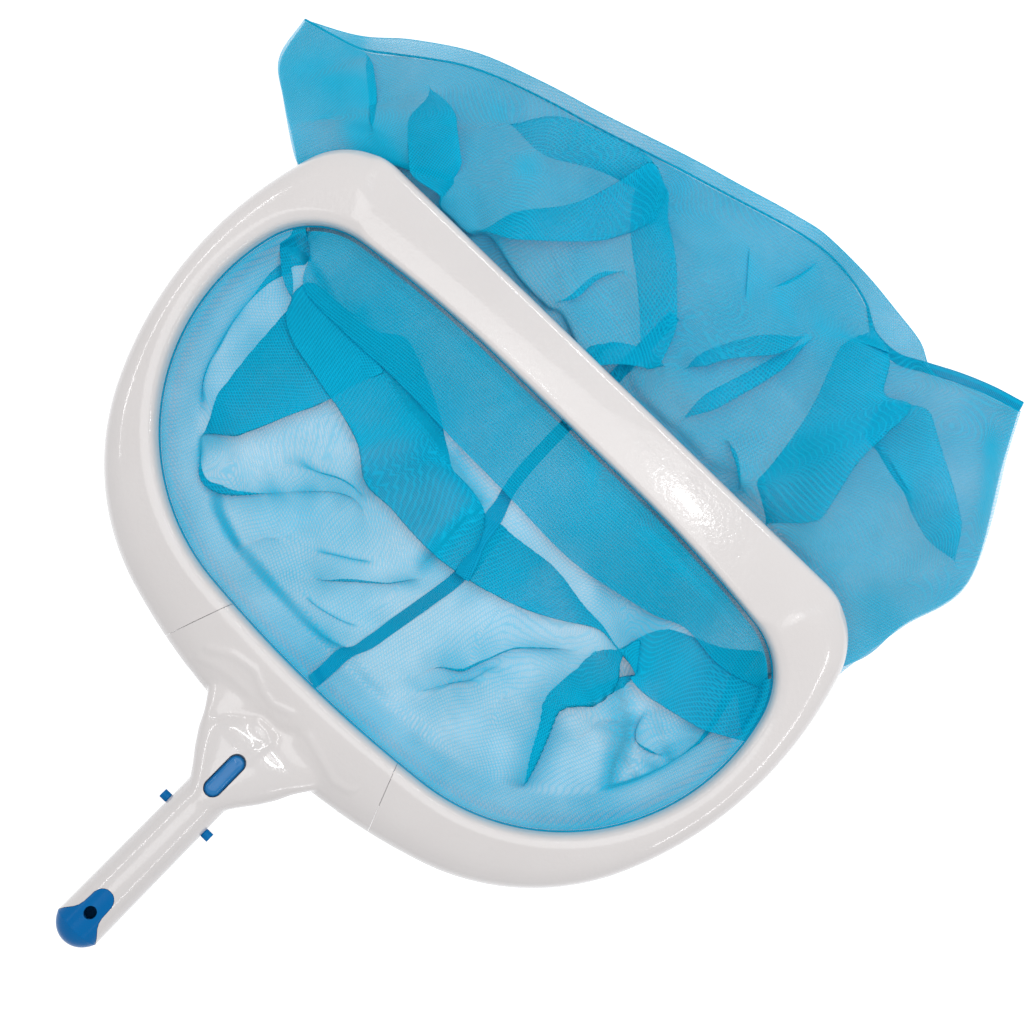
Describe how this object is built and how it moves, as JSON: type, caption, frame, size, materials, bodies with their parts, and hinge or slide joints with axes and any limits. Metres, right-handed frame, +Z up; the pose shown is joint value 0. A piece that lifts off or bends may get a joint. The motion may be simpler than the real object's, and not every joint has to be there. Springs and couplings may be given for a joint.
{
  "type": "leaf skimmer net",
  "caption": "D-shaped scoop hoop with a deep net bag and an angled spigot that locks into a pole with two sprung side pins.",
  "frame": {"origin": "on the spigot's axis, level with the two lock pins", "axes": "+X from the handle towards the scoop bar, +Y to the left seen from the handle, +Z up, square to the hoop"},
  "size_m": [0.6071, 0.5316, 0.0784],
  "materials": {
    "white_plastic": "glossy moulded ABS, warm white",
    "blue_plastic": "semi-gloss moulded, mid blue",
    "net": "fine warp-knitted polyester mesh, see-through",
    "net_trim": "woven tape and cord, sewn",
    "steel": "bright stainless"
  },
  "bodies": {
    "root": {"hoop_top": "white_plastic", "hoop_bottom": "white_plastic", "yoke": "white_plastic", "yoke_bottom": "white_plastic", "joint_tenons": "white_plastic", "end_cap": "blue_plastic", "clip_base": "blue_plastic", "arm_pivots": "steel", "button_spring": "steel", "clip_screw": "steel", "hoop_screws": "steel", "yoke_screws": "steel", "bag_back_panel": "net", "bag_front_panel": "net", "hem_cord": "net_trim", "mouth_binding": "net_trim", "centre_seam_tape": "net_trim", "bottom_seam_binding": "net_trim"},
    "button": {"release_button": "blue_plastic"},
    "left_arm": {"left_lock_arm": "blue_plastic"},
    "right_arm": {"right_lock_arm": "blue_plastic"}
  },
  "joints": [
    {"name": "button_press", "type": "slide", "parent": "root", "child": "button", "axis": [-0.342, 0, -0.9397], "range_m": [0, 0.0035], "stiffness_N_per_m": 900, "springref_m": -0.0015, "deforming": ["button_spring"]},
    {"name": "left_arm_swing", "type": "hinge", "parent": "root", "child": "left_arm", "pos_m": [0.04135, 0.005, -0.01505], "axis": [0.342, 0, 0.9397], "range_deg": [0, 6.3]},
    {"name": "right_arm_swing", "type": "hinge", "parent": "root", "child": "right_arm", "pos_m": [0.04135, -0.005, -0.01505], "axis": [-0.342, 0, -0.9397], "range_deg": [0, 6.3]}
  ],
  "couplings": [
    {"joint": "left_arm_swing", "follows": "button_press", "rad_per_m": 30.578},
    {"joint": "right_arm_swing", "follows": "button_press", "rad_per_m": 30.578}
  ]
}
